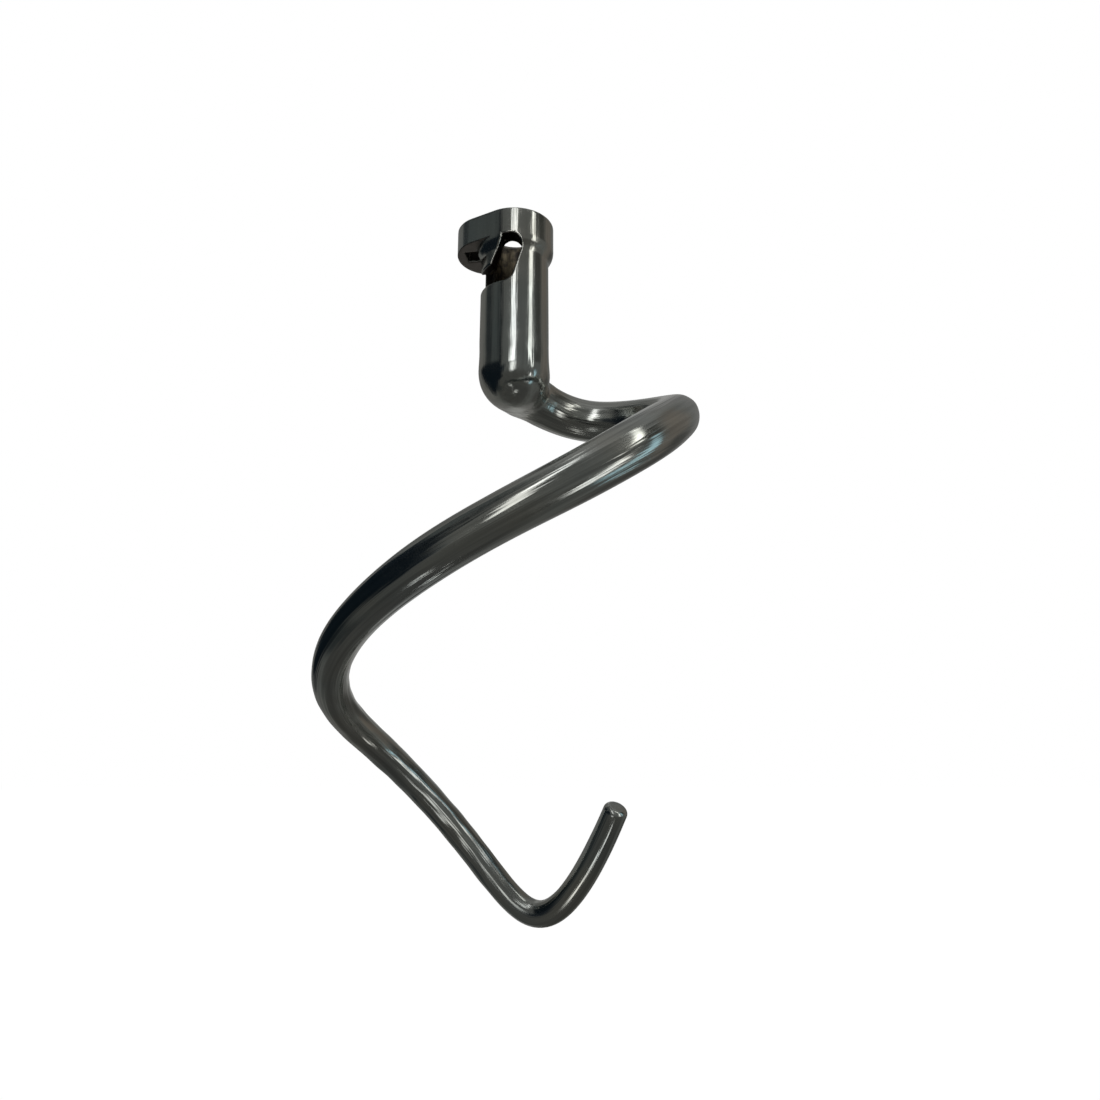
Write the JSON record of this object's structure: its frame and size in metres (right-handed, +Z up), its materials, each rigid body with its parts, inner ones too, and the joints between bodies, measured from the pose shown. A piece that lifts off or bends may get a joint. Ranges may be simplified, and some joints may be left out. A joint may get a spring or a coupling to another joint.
{
  "type": "stand mixer dough hook",
  "caption": "One-piece spiral dough hook: a bored hub with a side lobe and a bayonet pin slot, and a tapering rod that winds once round the axis and ends in a blunt toe.",
  "frame": {"origin": "on the bore's axis, level with the middle of the seated cross pin, 11.1 mm below the top face", "axes": "+Z up the mixer's drive shaft; seen from the picture's side +X points right and +Y away from the viewer"},
  "size_m": [0.1033, 0.0813, 0.2003],
  "materials": {
    "polished_steel": "polished"
  },
  "bodies": {
    "root": {"dough_hook": "polished_steel"}
  },
  "joints": []
}
